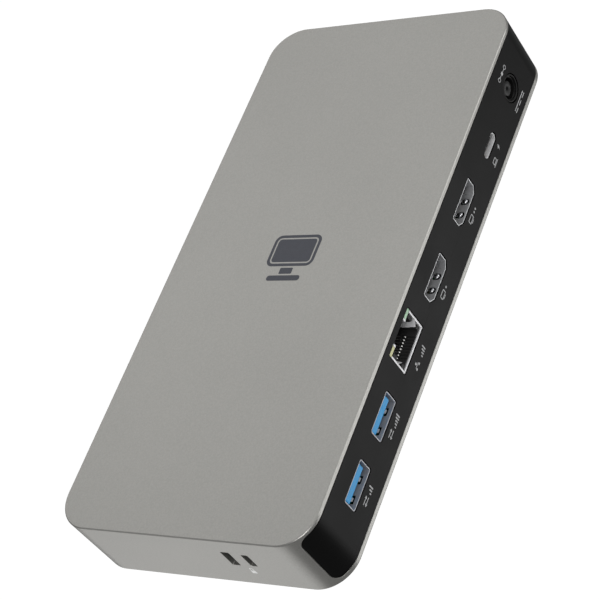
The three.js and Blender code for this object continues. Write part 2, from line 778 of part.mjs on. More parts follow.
corners(CASE_SCREW.x, CASE_SCREW.y).forEach(([x, y], i) => {
  add(`case_screw_${i + 1}`, caseScrew(), "steel").position.set(x, y, 0);
});
BOARD_SCREW_PLACES.forEach(([x, y], i) => {
  add(`board_screw_${i + 1}`, boardScrew(), "steel").position.set(x, y, 0);
});
corners(FOOT.x, FOOT.y).forEach(([x, y], i) => {
  add(`foot_${i + 1}`, bar(FOOT.radius, 0, FOOT.height, 0, 0, 20), "rubber").position.set(x, y, 0);
});

export default dock;
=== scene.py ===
import math

import bmesh
import bpy
from mathutils import Matrix, Vector
from mathutils.geometry import tessellate_polygon


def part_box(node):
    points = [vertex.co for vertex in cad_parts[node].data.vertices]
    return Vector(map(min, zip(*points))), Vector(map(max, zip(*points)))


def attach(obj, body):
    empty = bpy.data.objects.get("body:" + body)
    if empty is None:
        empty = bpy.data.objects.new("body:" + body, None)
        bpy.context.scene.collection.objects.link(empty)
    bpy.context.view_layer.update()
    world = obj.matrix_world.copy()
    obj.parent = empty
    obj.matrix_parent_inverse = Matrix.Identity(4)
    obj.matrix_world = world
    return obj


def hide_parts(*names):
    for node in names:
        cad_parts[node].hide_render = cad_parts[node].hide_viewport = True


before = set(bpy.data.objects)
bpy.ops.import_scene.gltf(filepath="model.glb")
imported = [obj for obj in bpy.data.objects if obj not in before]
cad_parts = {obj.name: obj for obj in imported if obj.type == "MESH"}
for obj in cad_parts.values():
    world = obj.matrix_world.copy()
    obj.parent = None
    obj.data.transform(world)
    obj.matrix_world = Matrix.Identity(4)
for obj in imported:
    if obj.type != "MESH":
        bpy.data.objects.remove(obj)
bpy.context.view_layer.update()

MM = 0.001
WELD = 0.002
TINY = 1e-9
SMOOTH_ANGLE = math.radians(32)
PRINT = 0.015


def box_mm(node):
    """The lowest and highest corner of a CAD node, in millimetres."""
    low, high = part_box(node)
    return low / MM, high / MM


# ---- The housing's own sizes ----

HOUSE_LOW, HOUSE_HIGH = box_mm("top_shell")
LENGTH = HOUSE_HIGH.x - HOUSE_LOW.x
WIDTH = HOUSE_HIGH.y - HOUSE_LOW.y
BASE = HOUSE_LOW.z
TOP = HOUSE_HIGH.z
CORNER = 11.0
CORNER_STEPS = 20
TOP_CHAMFER = 0.32
BOTTOM_ROUND = 0.6
WALL = 2.4
ROOF = 2.0

PANEL_THICKNESS = 1.2
PANEL_CORNER = 3.0
PANEL_GAP = 0.15
PANEL_LEDGE = 1.6
SHEET = 0.35
BACK_GAP = 0.3

HALF_X = LENGTH / 2 - CORNER
HALF_Y = WIDTH / 2 - CORNER
ARC = CORNER * math.pi / 2
PERIMETER = 4 * (HALF_X + HALF_Y + ARC)


# ---- Outlines ----

def rounded(corners, radius, grow=0.0, steps=6):
    """A closed outline through anticlockwise corners, moved out by grow, its corners turned into arcs."""
    points = []
    count = len(corners)
    for i in range(count):
        before, corner, after = (Vector(corners[(i + k) % count]) for k in (-1, 0, 1))
        way_in = (corner - before).normalized()
        way_out = (after - corner).normalized()
        out_in = Vector((way_in.y, -way_in.x))
        out_out = Vector((way_out.y, -way_out.x))
        mitre = (out_in + out_out) / (1 + out_in.dot(out_out))
        turn = math.atan2(way_in.x * way_out.y - way_in.y * way_out.x, way_in.dot(way_out))
        side = 1 if turn > 0 else -1
        size = max(radius + side * grow, 0.02)
        centre = corner + mitre * (grow - side * size)
        start = math.atan2(out_in.y, out_in.x)
        for k in range(steps + 1):
            angle = start + turn * k / steps
            reach = side * size
            points.append((centre.x + reach * math.cos(angle), centre.y + reach * math.sin(angle)))
    return points


def rectangle(width, height, radius, middle=(0, 0), steps=6):
    """The outline of a rounded rectangle, as a function of how far it is grown."""
    u, v = middle
    w, h = width / 2, height / 2
    corners = [(u - w, v - h), (u + w, v - h), (u + w, v + h), (u - w, v + h)]
    return lambda grow=0.0: rounded(corners, radius, grow, steps)


def round_hole(radius, middle=(0, 0), steps=48):
    """The outline of a circle, as a function of how far it is grown."""
    def outline(grow=0.0):
        turns = [2 * math.pi * k / steps for k in range(steps)]
        reach = radius + grow
        return [(middle[0] + reach * math.cos(a), middle[1] + reach * math.sin(a)) for a in turns]
    return outline


def polygon(corners, radius=0.02, steps=3):
    """An outline through any anticlockwise corners, as a function of how far it is grown."""
    return lambda grow=0.0: rounded(corners, radius, grow, steps)


def moved(outline, du, dv):
    """An outline shifted in its own plane."""
    return lambda grow=0.0: [(u + du, v + dv) for u, v in outline(grow)]


# ---- Mesh building, in a local frame: u to the right, v up, w out of the face ----

def rings_of(outline, stations):
    """The outline repeated at each (grow, w) station."""
    return [[(u, v, w) for u, v in outline(grow)] for grow, w in stations]


def eased(radius, back, side=-1, front=0.0, count=4):
    """Stations of an edge that is rounded at the front: side -1 for an outer edge, 1 for a hole."""
    stations = []
    for k in range(count + 1):
        angle = math.pi / 2 * k / count
        stations.append((side * radius * (1 - math.sin(angle)), front - radius * (1 - math.cos(angle))))
    return stations + [(0.0, back)]


def add_rings(mesh, rings):
    """Joins neighbouring rings by bands of quads and returns the rings as mesh vertices."""
    made = [[mesh.verts.new(p) for p in ring] for ring in rings]
    for one, two in zip(made, made[1:]):
        for i in range(len(one)):
            j = (i + 1) % len(one)
            mesh.faces.new((one[i], one[j], two[j], two[i]))
    return made


def cap(mesh, rings):
    """Fills the flat area between an outer ring and the rings inside it."""
    flat = [v for ring in rings for v in ring]
    normal_axis = spread_axis(flat)
    shapes = [[flatten(v.co, normal_axis) for v in ring] for ring in rings]
    for triangle in tessellate_polygon(shapes):
        mesh.faces.new([flat[i] for i in triangle])


def spread_axis(vertices):
    """The axis along which a flat set of vertices has no spread."""
    spans = [max(v.co[k] for v in vertices) - min(v.co[k] for v in vertices) for k in range(3)]
    return spans.index(min(spans))


def flatten(point, axis):
    kept = [point[k] for k in range(3) if k != axis]
    return Vector((kept[0], kept[1], 0))


def plate(mesh, outer, holes=(), pockets=()):
    """A sheet given by the ring lists of its outer edge, its through holes and its blind pockets."""
    edges = [add_rings(mesh, rings) for rings in (outer, *holes, *pockets)]
    through = 1 + len(holes)
    cap(mesh, [edge[0] for edge in edges])
    cap(mesh, [edge[-1] for edge in edges[:through]])
    for edge in edges[through:]:
        cap(mesh, [edge[-1]])


def loft(mesh, rings):
    """A closed body through rings, with flat ends."""
    made = add_rings(mesh, rings)
    cap(mesh, [made[0]])
    cap(mesh, [made[-1]])


def block(mesh, u, v, w, radius=0.12, ease=0.08):
    """A bar with rounded long edges between two spans each way, eased at its front."""
    outline = rectangle(u[1] - u[0], v[1] - v[0], radius, ((u[0] + u[1]) / 2, (v[0] + v[1]) / 2), 3)
    loft(mesh, rings_of(outline, eased(ease, w[0], -1, w[1], 3)))


def lathe(mesh, profile, steps=48):
    """A closed turned body from (radius, w) stations, with flat ends."""
    loft(mesh, [[(u, v, w) for u, v in round_hole(r, steps=steps)()] for r, w in profile])


def tube(mesh, outline, depth, thickness=SHEET, front=0.0):
    """A sheet-metal sleeve that is open at the front and closed at the back, with a rolled rim."""
    ease = min(thickness / 4, 0.1)
    rim = [(0.0, -depth), (0.0, front - ease), (-0.3 * ease, front - 0.3 * ease), (-ease, front)]
    lip = [(-thickness + ease, front), (-thickness + 0.3 * ease, front - 0.3 * ease)]
    inside = [(-thickness, front - ease), (-thickness, thickness - depth)]
    loft(mesh, rings_of(outline, rim + lip + inside))


def leaf(mesh, path, width, thickness=0.18, across=lambda a, b, c: (a, b, c), tip=1.0):
    """A bent strip of spring metal: path holds (b, c) points, a runs across its width, and the
    last point has tip times that width."""
    rings = []
    for i, (b, c) in enumerate(path):
        before, after = path[max(i - 1, 0)], path[min(i + 1, len(path) - 1)]
        way = Vector((after[0] - before[0], after[1] - before[1])).normalized()
        nb, nc = -way.y * thickness / 2, way.x * thickness / 2
        half = width / 2 * (1 + (tip - 1) * i / (len(path) - 1))
        ends = [(-half, 1), (half, 1), (half, -1), (-half, -1)]
        rings.append([across(a, b + face * nb, c + face * nc) for a, face in ends])
    loft(mesh, rings)


def dome(mesh, centre, radius, height, steps=24, rows=6):
    """A shallow pressed dome standing along v on a wall, with its base closed."""
    rings = []
    for k in range(rows):
        angle = math.pi / 2 * k / rows
        reach, rise = radius * math.cos(angle), height * math.sin(angle)
        turns = [2 * math.pi * i / steps for i in range(steps)]
        rings.append([(centre[0] + reach * math.cos(a), centre[1] + rise, centre[2] + reach * math.sin(a))
                      for a in turns])
    loft(mesh, rings)


def single(build, *sizes):
    """A new local mesh that holds one body, made by one of the builders above."""
    mesh = bmesh.new()
    build(mesh, *sizes)
    return mesh


# ---- From a local frame to the dock ----

def plan_point(s, inset=0.0):
    """The point at arc length s along the housing's outline, moved inwards: s = 0 is the middle
    of the rear side and s grows towards -X."""
    left = s % PERIMETER
    heading = math.pi
    x, y = 0.0, WIDTH / 2
    for straight in (HALF_X, 2 * HALF_Y, 2 * HALF_X, 2 * HALF_Y, HALF_X):
        step = min(left, straight)
        x += math.cos(heading) * step
        y += math.sin(heading) * step
        left -= step
        if left < TINY:
            break
        centre_x = x - CORNER * math.sin(heading)
        centre_y = y + CORNER * math.cos(heading)
        turn = min(left, ARC) / CORNER
        heading += turn
        x = centre_x + CORNER * math.sin(heading)
        y = centre_y - CORNER * math.cos(heading)
        left -= turn * CORNER
        if left < TINY:
            break
    return x - inset * math.sin(heading), y + inset * math.cos(heading)


def bend_stations(first, last):
    """The arc lengths between first and last where the outline's corners are divided."""
    starts = [HALF_X, HALF_X + ARC + 2 * HALF_Y]
    starts += [start + PERIMETER / 2 for start in starts]
    found = set()
    for start in starts:
        for lap in (-PERIMETER, 0.0, PERIMETER):
            for k in range(CORNER_STEPS + 1):
                s = start + lap + ARC * k / CORNER_STEPS
                if first < s < last:
                    found.add(round(s, 6))
    return sorted(found)


def wrap(mesh, centre, stations):
    """Bends a flat sheet round the housing: u becomes arc length from centre, v height, w depth."""
    for s in stations:
        everything = mesh.verts[:] + mesh.edges[:] + mesh.faces[:]
        bmesh.ops.bisect_plane(mesh, geom=everything, dist=1e-4, plane_co=(s, 0, 0), plane_no=(1, 0, 0))
    for vertex in mesh.verts:
        u, v, w = vertex.co
        x, y = plan_point(centre + u, -w)
        vertex.co = (x, y, v)


class Port:
    """The frame of a connector, with its origin in the middle of the CAD node's front, and the
    depth at which its insert ends, just before the sleeve's rear wall."""

    def __init__(self, node, side):
        low, high = box_mm(node)
        self.turn = 1 if side == "rear" else -1
        self.x = (low.x + high.x) / 2
        self.z = (low.z + high.z) / 2
        self.front = high.y if side == "rear" else low.y
        self.width = high.x - low.x
        self.height = high.z - low.z
        self.depth = high.y - low.y
        self.back = -self.depth + SHEET + BACK_GAP

    def row(self, point):
        u, v, w = point
        return self.x - self.turn * u, self.front + self.turn * w, self.z + v

    def on_panel(self, outline):
        """A connector's outline as it lies on its flat panel."""
        return moved(outline, -self.turn * self.x, self.z)


def as_is(point):
    return point


# ---- Pieces ----

def linked(name, data):
    """A new object of the scene, holding the given data."""
    made = bpy.data.objects.new(name, data)
    bpy.context.scene.collection.objects.link(made)
    return made


def linked_mesh(name, mesh):
    """A new object of the scene, made from a local mesh that isn't needed any more."""
    data = bpy.data.meshes.new(name)
    mesh.to_mesh(data)
    mesh.free()
    return linked(name, data)


def piece(mesh, name, material, stands_for=(), row=as_is, body="dock"):
    """Turns a finished local mesh into a named object that rides on a body."""
    for vertex in mesh.verts:
        vertex.co = Vector(row(vertex.co)) * MM
    bmesh.ops.remove_doubles(mesh, verts=mesh.verts, dist=WELD * MM)
    bmesh.ops.recalc_face_normals(mesh, faces=mesh.faces)
    made = linked_mesh(name, mesh)
    made.data.materials.append(material)
    shade(made)
    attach(made, body)
    if stands_for:
        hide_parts(*stands_for)


def shade(made):
    """Smooth faces that break at real edges, with the large faces ruling the normals."""
    made.data.shade_smooth()
    made.data.set_sharp_from_angle(angle=SMOOTH_ANGLE)
    normals = made.modifiers.new("even_normals", "WEIGHTED_NORMAL")
    normals.keep_sharp = True
    normals.weight = 100


def carved(mesh, cutters, name, operation="DIFFERENCE"):
    """A new local mesh: the given one cut by, or joined with, others by exact booleans."""
    objects = []
    for part in (mesh, *cutters):
        bmesh.ops.recalc_face_normals(part, faces=part.faces)
        objects.append(linked_mesh(name + "_raw", part))
    first = objects[0]
    for other in objects[1:]:
        boolean = first.modifiers.new("boolean", "BOOLEAN")
        boolean.operation = operation
        boolean.solver = "EXACT"
        boolean.object = other
    bpy.context.view_layer.update()
    result = bmesh.new()
    result.from_object(first, bpy.context.evaluated_depsgraph_get())
    for made in objects:
        data = made.data
        bpy.data.objects.remove(made)
        bpy.data.meshes.remove(data)
    return result


def print_on(name, shapes, material, row, body="dock"):
    """Flat printed marks: each shape is an outline, or an outline and the holes in it."""
    mesh = bmesh.new()
    for shape in shapes:
        outer, *holes = shape if isinstance(shape, (tuple, list)) else (shape,)
        edges = [rings_of(o, [(0.0, PRINT), (0.0, -PRINT)]) for o in (outer, *holes)]
        plate(mesh, edges[0], edges[1:])
    piece(mesh, name, material, row=row, body=body)


# ---- Finishes ----

def linear(*srgb):
    """An sRGB colour of 0 to 255 as the linear colour that shaders take."""
    def one(value):
        share = value / 255
        return share / 12.92 if share <= 0.04045 else ((share + 0.055) / 1.055) ** 2.4
    return (*[one(value) for value in srgb], 1.0)


def scaled(color, share):
    return (*[min(1.0, value * share) for value in color[:3]], 1.0)


def fill(node, values):
    """Sets a shader node's inputs, given by name or number, and returns the node."""
    for key, value in values.items():
        node.inputs[key].default_value = value
    return node


# The parts of the noises' range that turn into shades and gloss, and how strongly grain shows.
SHADE_SPAN = (0.35, 0.65)
GLOSS_SPAN = (0.3, 0.7)
BUMP_STRENGTH = 0.6


def finish(name, srgb, roughness, metallic=0.0, specular=0.5, tint=0.05, tint_size=2, grain=0.2,
           relief=0.01, gloss_spread=0.06, stretch=(1, 1, 1), see_through=0.0, glow=0.0):
    """A finish with broad changes of colour, a fine grain in its height and a spread of gloss.
    Sizes are millimetres: tint_size and grain of the two noises, relief of the grain's height."""
    material = bpy.data.materials.new(name)
    material.use_nodes = True
    nodes = material.node_tree.nodes
    shader = fill(nodes["Principled BSDF"], {
        "Metallic": metallic,
        "Specular IOR Level": specular,
        "Transmission Weight": see_through,
        "Emission Strength": glow,
    })
    place = nodes.new("ShaderNodeTexCoord")
    mapping = fill(nodes.new("ShaderNodeMapping"), {"Scale": stretch})
    broad = fill(nodes.new("ShaderNodeTexNoise"), {"Scale": 1 / (tint_size * MM), "Detail": 4})
    fine = fill(nodes.new("ShaderNodeTexNoise"), {"Scale": 1 / (grain * MM), "Detail": 2})
    blend = nodes.new("ShaderNodeMath")
    blend.operation = "ADD"
    halve = fill(nodes.new("ShaderNodeMath"), {1: 0.5})
    halve.operation = "MULTIPLY"
    shades = nodes.new("ShaderNodeValToRGB")
    for element, at, share in zip(shades.color_ramp.elements, SHADE_SPAN, (1 - tint, 1 + tint)):
        element.position = at
        element.color = scaled(linear(*srgb), share)
    gloss = fill(nodes.new("ShaderNodeMapRange"), {
        "From Min": GLOSS_SPAN[0],
        "From Max": GLOSS_SPAN[1],
        "To Min": max(0.02, roughness - gloss_spread),
        "To Max": min(1.0, roughness + gloss_spread),
    })
    bump = fill(nodes.new("ShaderNodeBump"), {"Strength": BUMP_STRENGTH, "Distance": relief * MM})
    for source, output, target, socket in (
        (place, "Object", mapping, "Vector"),
        (mapping, "Vector", broad, "Vector"),
        (mapping, "Vector", fine, "Vector"),
        (fine, "Fac", blend, 0),
        (broad, "Fac", blend, 1),
        (blend, "Value", halve, 0),
        (halve, "Value", shades, "Fac"),
        (shades, "Color", shader, "Base Color"),
        (shades, "Color", shader, "Emission Color"),
        (broad, "Fac", gloss, "Value"),
        (gloss, "Result", shader, "Roughness"),
        (fine, "Fac", bump, "Height"),
        (bump, "Normal", shader, "Normal"),
    ):
        material.node_tree.links.new(source.outputs[output], target.inputs[socket])
    return material


ANODISED = finish("anodised_grey", (172, 171, 167), 0.38, metallic=0.85, tint=0.09, tint_size=60,
                  grain=0.45, relief=0.006, gloss_spread=0.02)
PANEL_BLACK = finish("panel_black", (13, 13, 13), 0.36, specular=0.08, tint=0.12, tint_size=14, grain=0.22,
                     relief=0.003, gloss_spread=0.03)
COVER_GREY = finish("cover_grey", (52, 53, 54), 0.55, specular=0.3, tint=0.1, tint_size=12, grain=0.45,
                    relief=0.02)
PLATED = finish("plated_steel", (206, 207, 210), 0.24, metallic=1.0, tint=0.06, tint_size=3, relief=0.003)
SLEEVE = finish("sleeve_steel", (184, 185, 190), 0.4, metallic=0.6, tint=0.08, relief=0.005)
DRAWN = finish("drawn_steel", (206, 207, 209), 0.38, metallic=0.65, tint=0.12, relief=0.008,
               stretch=(1, 0.3, 1))
# A near-white, mostly diffuse copy of the sleeve steel: painted light that makes the springs and the
# network port's shield look lit inside the ports.
SLEEVE_STEEL_PAINTED_LIGHT = finish("sleeve_steel_painted_light", (236, 236, 238), 0.4, metallic=0.3, tint=0.06, relief=0.005)
# Another near-white, mostly diffuse copy of the sleeve steel, not a polish: painted light that makes the
# USB-C sleeves look lit inside.
USB_C_STEEL_PAINTED_LIGHT = finish("usb_c_steel_painted_light", (240, 240, 241), 0.36, metallic=0.3, tint=0.06, grain=0.3)
# A lighter copy of the black moulding plastic: painted light that stands in for the light reaching inside
# the network port's cavity.
SOCKET_BLACK_PAINTED_LIGHT = finish("socket_black_painted_light", (46, 46, 46), 0.5, specular=0.2, tint=0.12, grain=0.4)
MOULDED_BLACK = finish("moulded_black", (14, 14, 14), 0.5, specular=0.12, tint=0.15, relief=0.006)
# A black moulding kept lighter than the panel and the other black mouldings: painted light for the light
# that the jacks' nose rings catch.
JACK_BLACK_PAINTED_LIGHT = finish("jack_black_painted_light", (24, 24, 24), 0.36, specular=0.14, tint=0.12, relief=0.004)
JACK_GREY = finish("jack_grey", (46, 46, 46), 0.42, metallic=0.2, specular=0.3, tint=0.1, relief=0.004)
TONGUE_BLUE = finish("tongue_blue", (62, 168, 232), 0.38, specular=0.3, tint=0.07, tint_size=3, grain=0.25,
                     relief=0.006)
CONTACT = dict(metallic=1.0, tint=0.06, tint_size=1, grain=0.15, relief=0.002)
GOLD = finish("contact_gold", (222, 190, 120), 0.22, **CONTACT)
WIRE = finish("contact_wire", (190, 189, 186), 0.34, **CONTACT)
LIGHT_WINDOW = dict(specular=0.4, tint_size=1.2, relief=0.004, see_through=0.15)
GREEN_LIGHT = finish("light_green", (190, 232, 196), 0.28, **LIGHT_WINDOW)
YELLOW_LIGHT = finish("light_yellow", (234, 234, 176), 0.28, **LIGHT_WINDOW)
CLEAR = finish("light_clear", (225, 232, 235), 0.18, tint=0.03, tint_size=1.5, grain=0.3, relief=0.002,
               see_through=0.6)
INK_PALE = finish("ink_pale", (196, 197, 198), 0.6, specular=0.2, tint=0.1, tint_size=0.5, grain=0.12,
                  relief=0.003)
INK_BRIGHT = finish("ink_bright", (236, 236, 235), 0.38, metallic=0.8, tint_size=1, relief=0.003)
INK_SLATE = finish("ink_slate", (78, 80, 88), 0.42, specular=0.3, tint=0.08, grain=0.25, relief=0.003)
STEEL = finish("screw_steel", (150, 152, 155), 0.3, metallic=1.0, tint=0.1, tint_size=1.5, relief=0.006)
STAMPED = finish("stamped_steel", (120, 116, 110), 0.45, metallic=0.8, tint=0.12, tint_size=2.5, grain=0.3,
                 relief=0.008, stretch=(1, 1, 5))
RUBBER = finish("foot_rubber", (30, 30, 31), 0.85, specular=0.25, tint=0.15, tint_size=3, grain=0.35,
                relief=0.03)
BOARD_GREEN = finish("board_green", (22, 84, 48), 0.45, specular=0.4, tint=0.25, tint_size=2.2, grain=0.5,
                     relief=0.03)
CHIP_BLACK = finish("chip_black", (32, 32, 34), 0.55, specular=0.3, tint=0.1, grain=0.18)
PAD_BLUE = finish("pad_blue", (139, 163, 181), 0.8, specular=0.2, tint=0.08, grain=0.4, relief=0.04)
SPREADER = finish("spreader_aluminium", (186, 188, 190), 0.38, metallic=1.0, tint=0.06, tint_size=5,
                  relief=0.006, stretch=(1, 8, 1))
SWEEP_WHITE = finish("sweep_white", (188, 188, 188), 0.9, specular=0.05, tint=0.01, tint_size=90, grain=2,
                     glow=1.96)

# The finish of each CAD slot whose pieces keep their CAD meshes.
SLOT_FINISH = {
    "steel": STEEL,
    "board": BOARD_GREEN,
    "chip": CHIP_BLACK,
    "thermal_pad": PAD_BLUE,
    "bright_aluminium": SPREADER,
    "port_metal": DRAWN,
    "port_black": MOULDED_BLACK,
}


# ---- Connector outlines ----

HDMI_SIDE = 3.9
HDMI_FOOT = 10.8
RJ45_SKIRT = 0.7
JACK_NOSE = 4.3
AUDIO_NOSE = 3.0
CARD_MOUTH = (24.6, 2.5)
USB_C_SHEET = 0.26
USB_C_SET_BACK = 0.12
BUTTON_RADIUS = 4.2
LIGHT_RADIUS = 0.95


def face_size(node):
    """The width and height of a connector as it is seen from outside."""
    port = Port(node, "rear")
    return port.width, port.height


def hdmi_outline():
    """A wide top and upright sides that slope in to a narrower foot."""
    width, height = face_size("hdmi_1_shell")
    w, h, foot = width / 2, height / 2, HDMI_FOOT / 2
    shoulder = h - HDMI_SIDE
    return polygon([(-foot, -h), (foot, -h), (w, shoulder), (w, h), (-w, h), (-w, shoulder)], 0.35, 4)


RJ45_WIDTH, RJ45_HEIGHT = face_size("rj45_shield")
RJ45_HEIGHT -= RJ45_SKIRT
USB_A = rectangle(*face_size("usb_a_5g_shell"), 0.7)
USB_C = rectangle(*face_size("usb_c_host_shell"), 1.58, steps=12)
HDMI = hdmi_outline()
RJ45 = rectangle(RJ45_WIDTH, RJ45_HEIGHT, 0.25)
CARD = rectangle(*CARD_MOUTH, 0.5)


# ---- Housing and panels ----

PANEL_LOW, PANEL_HIGH = box_mm("rear_port_panel")
PANEL_REACH = HALF_X + CORNER * math.asin((PANEL_HIGH.x - HALF_X) / CORNER)
PANEL_OUTLINE = rectangle(2 * PANEL_REACH, PANEL_HIGH.z - PANEL_LOW.z, PANEL_CORNER,
                          (0, (PANEL_HIGH.z + PANEL_LOW.z) / 2), 10)

# Each security slot: width, height, distance from the middle of the end, height over the table.
LOCK_SLOTS = [(2.8, 6.9, 13.7, 15.1), (2.2, 5.8, 20.0, 15.0)]
LOCK_SLOT_CORNER = 0.35


def lock_slots():
    """The outlines of the two security slots, as they lie on the +X end, by arc length."""
    return [moved(rectangle(width, height, LOCK_SLOT_CORNER), -PERIMETER / 4 + along, level)
            for width, height, along, level in LOCK_SLOTS]


def housing():
    """The aluminium body: walls with both panel openings and the slots, a flat top and open bottom."""
    mesh = bmesh.new()
    first, last = -0.75 * PERIMETER, 0.25 * PERIMETER
    low, high = BASE + BOTTOM_ROUND, TOP - TOP_CHAMFER
    pocket = PANEL_THICKNESS + 0.3
    opening = [(grow + PANEL_GAP, w) for grow, w in eased(0.1, -pocket, 1, count=3)]
    opening += [(-PANEL_LEDGE, -pocket), (-PANEL_LEDGE, -WALL)]
    centres = (0.0, -PERIMETER / 2)
    holes = [rings_of(moved(PANEL_OUTLINE, centre, 0), opening) for centre in centres]
    holes += [rings_of(slot, eased(0.12, -WALL, 1, count=3)) for slot in lock_slots()]
    edges = [add_rings(mesh, rings) for rings in holes]

    def sheet(z0, z1, w, ends):
        corners = [(first, z0, w), (last, z0, w), (last, z1, w), (first, z1, w)]
        cap(mesh, [[mesh.verts.new(p) for p in corners]] + ends)

    sheet(low, high, 0.0, [edge[0] for edge in edges])
    sheet(BASE, TOP - ROOF, -WALL, [edge[-1] for edge in edges])
    stations = bend_stations(first, last)
    wrap(mesh, 0.0, stations)

    def ring(inset, z):
        return [(*plan_point(s, inset), z) for s in [first, *stations]]

    soft = 0.06
    top = add_rings(mesh, [
        ring(0.0, high),
        ring(soft * 0.4, high + soft),
        ring(TOP_CHAMFER - soft, TOP - soft * 0.4),
        ring(TOP_CHAMFER + soft * 0.6, TOP),
    ])
    cap(mesh, [top[-1]])
    foot = []
    steps = 8
    for k in range(steps + 1):
        angle = math.pi / 2 * k / steps
        foot.append(ring(BOTTOM_ROUND * (1 - math.cos(angle)), low - BOTTOM_ROUND * math.sin(angle)))
    add_rings(mesh, [*foot, ring(WALL, BASE)])
    inner = [mesh.verts.new(p) for p in ring(WALL, TOP - ROOF)]
    cap(mesh, [inner])
    piece(mesh, "housing", ANODISED, ["top_shell"])


def port_panel(name, node, centre, cut_outs):
    """A long-side panel that follows the housing round its corners, with a cut-out for each port."""
    outer = rings_of(PANEL_OUTLINE, eased(0.12, -PANEL_THICKNESS))
    cut_edge = [(grow + PANEL_GAP, w) for grow, w in eased(0.08, -PANEL_THICKNESS, 1, count=3)]
    mesh = single(plate, outer, [rings_of(outline, cut_edge) for outline in cut_outs])
    wrap(mesh, centre, [s - centre for s in bend_stations(centre - PANEL_REACH, centre + PANEL_REACH)])
    piece(mesh, name, PANEL_BLACK, [node])


REAR_CUT_OUTS = {
    "dc_jack_body": round_hole(JACK_NOSE + 0.1, steps=64),
    "usb_c_host_shell": USB_C,
    "hdmi_2_shell": HDMI,
    "hdmi_1_shell": HDMI,
    "rj45_shield": moved(RJ45, 0, RJ45_SKIRT / 2),
    "usb_a_10g_shell": USB_A,
    "usb_a_5g_shell": USB_A,
}
FRONT_CUT_OUTS = {
    "power_button": round_hole(BUTTON_RADIUS + 0.1, steps=64),
    "front_card_socket": CARD,
    "front_audio_jack": round_hole(AUDIO_NOSE, steps=48),
    "front_usb_a_shell": USB_A,
    "front_usb_c_shell": USB_C,
}


def panels():
    """Both port panels, each cut out for whatever comes through it."""
    rear = [Port(node, "rear").on_panel(outline) for node, outline in REAR_CUT_OUTS.items()]
    front = [Port(node, "front").on_panel(outline) for node, outline in FRONT_CUT_OUTS.items()]
    light = Port("status_light_pipe", "front").x, Port("power_button", "front").z
    front.append(moved(round_hole(LIGHT_RADIUS, steps=24), *light))
    port_panel("rear_panel", "rear_port_panel", 0.0, rear)
    port_panel("front_panel", "front_port_panel", -PERIMETER / 2, front)


# ---- Connectors ----

def sprung_sleeve(port, label, outline, material, wall, places, window, radius):
    """A sleeve with a window round each spring of its lower and upper walls. The window is given by
    its width, front and back."""
    width, front, back = window
    past = 0.6
    cutters = []
    for way in (-1, 1):
        for u in places:
            hole = rectangle(width, front - back, radius, (u, (front + back) / 2), 8)()
            levels = (way * wall - past, way * wall + past)
            cutters.append(single(loft, [[(a, z, b) for a, b in hole] for z in levels]))
    mesh = carved(single(tube, outline, port.depth), cutters, label)
    piece(mesh, label + "_sleeve", material, [label + "_shell"], port.row)


def insert(port, label, tongue, base, material):
    """A connector's moulding: the tongue, joined to the base that it stands on."""
    mesh = carved(single(block, *tongue), [single(block, *base, 0.2, 0.1)], label, "UNION")
    piece(mesh, label + "_insert", material, [label + "_tongue"], port.row)


def contact_row(port, label, places, half, levels, w, ease):
    """The contacts of a tongue, at the given places across it and on each level."""
    mesh = bmesh.new()
    for u in places:
        for v in levels:
            block(mesh, (u - half, u + half), v, w, ease, ease)
    piece(mesh, label + "_contacts", GOLD, (), port.row)


def usb_a(label, side):
    """A USB-A port: sleeve, pressed springs in its walls, tongue and contacts."""
    port = Port(label + "_shell", side)
    wall = port.height / 2 - SHEET / 2
    places, front = (-3.1, 3.1), -1.2
    sprung_sleeve(port, label, USB_A, SLEEVE, wall, places, (2.7, front, -6.4), 0.3)

    springs = bmesh.new()
    for u in places:
        for way in (-1, 1):
            bend = [(0, -6.5), (0.05, -5.4), (0.3, -4.4), (0.55, -3.4), (0.5, -2.8), (0.2, front - 0.5)]
            path = [(way * (wall - inward), w) for inward, w in bend]
            leaf(springs, path, 1.2, 0.2, lambda a, b, c, u=u: (a + u, b, c))
    # The springs' steel is painted lighter, as if lit inside the sleeve.
    piece(springs, label + "_springs", SLEEVE_STEEL_PAINTED_LIGHT, (), port.row)

    tongue = ((-5.7, 5.7), (-0.55, 1.85), (port.back + 1.6, -0.65), 0.3, 0.2)
    base = ((-5.9, 5.9), (-2.1, 2.1), (port.back, port.back + 2))
    insert(port, label, tongue, base, TONGUE_BLUE)
    reach = (port.back + 2.4, -1.8)
    contact_row(port, label, (-3.5, -1.15, 1.15, 3.5), 0.5, [(-0.62, -0.5)], reach, 0.04)


def usb_c(label, side):
    """A USB-C port: stadium sleeve and a central tongue with contacts on both faces."""
    shell = label + "_shell"
    port = Port(shell, side)
    mesh = single(tube, USB_C, port.depth, USB_C_SHEET, -USB_C_SET_BACK)
    # The sleeve's steel is painted lighter, as if lit inside its mouth.
    piece(mesh, label + "_sleeve", USB_C_STEEL_PAINTED_LIGHT, [shell], port.row)
    tongue = ((-3.3, 3.3), (-0.33, 0.33), (port.back + 1.2, -0.9), 0.2, 0.15)
    base = ((-3.2, 3.2), (-0.85, 0.85), (port.back, port.back + 1.5))
    insert(port, label, tongue, base, JACK_GREY)
    places = [(i - 5.5) * 0.5 for i in range(12)]
    levels = [(-0.37, -0.3), (0.3, 0.37)]
    contact_row(port, label, places, 0.12, levels, (port.back + 2, -2.3), 0.02)


